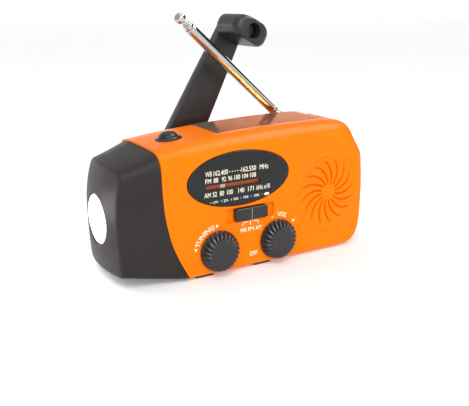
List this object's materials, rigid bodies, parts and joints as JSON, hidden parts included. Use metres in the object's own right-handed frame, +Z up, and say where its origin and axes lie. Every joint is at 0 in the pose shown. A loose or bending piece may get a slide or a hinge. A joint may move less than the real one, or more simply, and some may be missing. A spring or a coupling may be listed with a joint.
{
  "type": "emergency radio",
  "caption": "Hand-crank emergency radio with tuning dial, fluted knobs, band slider, swirl speaker grille, solar panel, end lamp, folding crank and telescopic aerial.",
  "frame": {"origin": "on the flat underside of the case, midway along its length and depth; the rubber feet reach 1.2 mm below", "axes": "+X along the case from the lamp head to the sockets, +Y from the dial face to the crank, +Z up"},
  "size_m": [0.124, 0.0562, 0.1086],
  "materials": {
    "front_shell": "moulded",
    "rear_shell": "moulded",
    "speaker_grille": "moulded",
    "speaker_frame": "pressed",
    "speaker_cone": "pressed",
    "speaker_magnet": "plain",
    "dial_window": "polished",
    "dial_plate": "printed",
    "band_switch": "plated",
    "lamp_housing": "moulded",
    "lens_bezel": "plated",
    "lamp_lens": "polished",
    "reflector": "metallised",
    "led_board": "laminate",
    "led_emitter": "moulded",
    "button_collar": "moulded",
    "solar_cell": "polycrystalline cell",
    "solar_cover": "polished",
    "foot_front_left": "moulded",
    "foot_front_right": "moulded",
    "foot_rear_left": "moulded",
    "foot_rear_right": "moulded",
    "main_board": "laminate",
    "battery_pack": "shrink wrap",
    "battery_door": "moulded",
    "generator_body": "plated",
    "gear_plate": "moulded",
    "usb_a_socket": "plated",
    "usb_tongue": "moulded",
    "micro_usb_socket": "plated",
    "earphone_socket": "moulded",
    "case_screw_1": "blackened",
    "case_screw_2": "blackened",
    "case_screw_3": "blackened",
    "case_screw_4": "blackened",
    "tuning_capacitor": "moulded",
    "volume_potentiometer": "plated",
    "tuning_knob": "moulded",
    "tuning_knob_cap": "moulded",
    "tuning_spindle": "turned",
    "volume_knob": "moulded",
    "volume_knob_cap": "moulded",
    "volume_spindle": "turned",
    "dial_pointer": "moulded",
    "band_slider": "moulded",
    "lamp_button": "moulded",
    "crank_hub": "moulded",
    "crank_gear": "moulded",
    "crank_pin": "turned",
    "generator_pinion": "cut",
    "crank_arm": "moulded",
    "grip_spindle": "turned",
    "crank_grip": "moulded",
    "aerial_swivel": "plated",
    "aerial_pin": "turned",
    "aerial_root": "plated",
    "aerial_tube_1": "plated",
    "aerial_tube_2": "plated",
    "aerial_tube_3": "plated",
    "aerial_tip": "plated"
  },
  "bodies": {
    "case": {"front_shell": "front_shell", "rear_shell": "rear_shell", "speaker_grille": "speaker_grille", "speaker_frame": "speaker_frame", "speaker_cone": "speaker_cone", "speaker_magnet": "speaker_magnet", "dial_window": "dial_window", "dial_plate": "dial_plate", "band_switch": "band_switch", "lamp_housing": "lamp_housing", "lens_bezel": "lens_bezel", "lamp_lens": "lamp_lens", "reflector": "reflector", "led_board": "led_board", "led_emitter": "led_emitter", "button_collar": "button_collar", "solar_cell": "solar_cell", "solar_cover": "solar_cover", "foot_front_left": "foot_front_left", "foot_front_right": "foot_front_right", "foot_rear_left": "foot_rear_left", "foot_rear_right": "foot_rear_right", "main_board": "main_board", "battery_pack": "battery_pack", "battery_door": "battery_door", "generator_body": "generator_body", "gear_plate": "gear_plate", "usb_a_socket": "usb_a_socket", "usb_tongue": "usb_tongue", "micro_usb_socket": "micro_usb_socket", "earphone_socket": "earphone_socket", "case_screw_1": "case_screw_1", "case_screw_2": "case_screw_2", "case_screw_3": "case_screw_3", "case_screw_4": "case_screw_4", "tuning_capacitor": "tuning_capacitor", "volume_potentiometer": "volume_potentiometer"},
    "tuning": {"tuning_knob": "tuning_knob", "tuning_knob_cap": "tuning_knob_cap", "tuning_spindle": "tuning_spindle"},
    "volume": {"volume_knob": "volume_knob", "volume_knob_cap": "volume_knob_cap", "volume_spindle": "volume_spindle"},
    "pointer": {"dial_pointer": "dial_pointer"},
    "slider": {"band_slider": "band_slider"},
    "button": {"lamp_button": "lamp_button"},
    "crank": {"crank_hub": "crank_hub", "crank_gear": "crank_gear", "crank_pin": "crank_pin"},
    "rotor": {"generator_pinion": "generator_pinion"},
    "arm": {"crank_arm": "crank_arm", "grip_spindle": "grip_spindle"},
    "grip": {"crank_grip": "crank_grip"},
    "mast_base": {"aerial_swivel": "aerial_swivel", "aerial_pin": "aerial_pin"},
    "mast_1": {"aerial_root": "aerial_root", "aerial_tube_1": "aerial_tube_1"},
    "mast_2": {"aerial_tube_2": "aerial_tube_2"},
    "mast_3": {"aerial_tube_3": "aerial_tube_3"},
    "mast_4": {"aerial_tip": "aerial_tip"}
  },
  "joints": [
    {"name": "tuning_turn", "type": "hinge", "parent": "case", "child": "tuning", "pos_m": [-0.01365, -0.0228, 0.01027], "axis": [0, 1, 0], "range_deg": [-95, 205]},
    {"name": "pointer_slide", "type": "slide", "parent": "case", "child": "pointer", "axis": [1, 0, 0], "range_m": [-0.0086, 0.0184]},
    {"name": "volume_turn", "type": "hinge", "parent": "case", "child": "volume", "pos_m": [0.0161, -0.0228, 0.01027], "axis": [0, 1, 0], "range_deg": [-30, 250]},
    {"name": "band_slide", "type": "slide", "parent": "case", "child": "slider", "axis": [1, 0, 0], "range_m": [-0.0035, 0.0035]},
    {"name": "lamp_press", "type": "slide", "parent": "case", "child": "button", "axis": [0.0946, 0, -0.9955], "range_m": [0, 0.0012], "stiffness_N_per_m": 600},
    {"name": "crank_turn", "type": "hinge", "parent": "case", "child": "crank", "pos_m": [-0.0174, 0.0254, 0.03], "axis": [0, 1, 0], "continuous": true},
    {"name": "rotor_turn", "type": "hinge", "parent": "case", "child": "rotor", "pos_m": [0.0024, 0.012, 0.03], "axis": [0, 1, 0], "continuous": true},
    {"name": "crank_fold", "type": "hinge", "parent": "crank", "child": "arm", "pos_m": [-0.0174, 0.0254, 0.03], "axis": [-0.8788, 0, 0.4772], "range_deg": [0, 180]},
    {"name": "grip_spin", "type": "hinge", "parent": "arm", "child": "grip", "pos_m": [0.02001, 0.014, 0.0989], "axis": [0, 1, 0], "continuous": true},
    {"name": "mast_swivel", "type": "hinge", "parent": "case", "child": "mast_base", "pos_m": [0.0436, 0.0186, 0.0576], "axis": [0, 0, 1], "range_deg": [-17.5, 35]},
    {"name": "mast_tilt", "type": "hinge", "parent": "mast_base", "child": "mast_1", "pos_m": [0.0436, 0.0186, 0.0576], "axis": [-0.3009, 0.9537, 0], "range_deg": [0, 12]},
    {"name": "mast_draw_1", "type": "slide", "parent": "mast_1", "child": "mast_2", "axis": [-0.7733, -0.244, 0.5852], "range_m": [0, 0.055]},
    {"name": "mast_draw_2", "type": "slide", "parent": "mast_2", "child": "mast_3", "axis": [-0.7733, -0.244, 0.5852], "range_m": [0, 0.055]},
    {"name": "mast_draw_3", "type": "slide", "parent": "mast_3", "child": "mast_4", "axis": [-0.7733, -0.244, 0.5852], "range_m": [0, 0.055]}
  ],
  "couplings": [
    {"joint": "pointer_slide", "follows": "tuning_turn", "m_per_rad": 0.005},
    {"joint": "rotor_turn", "follows": "crank_turn", "ratio": -4.5}
  ]
}
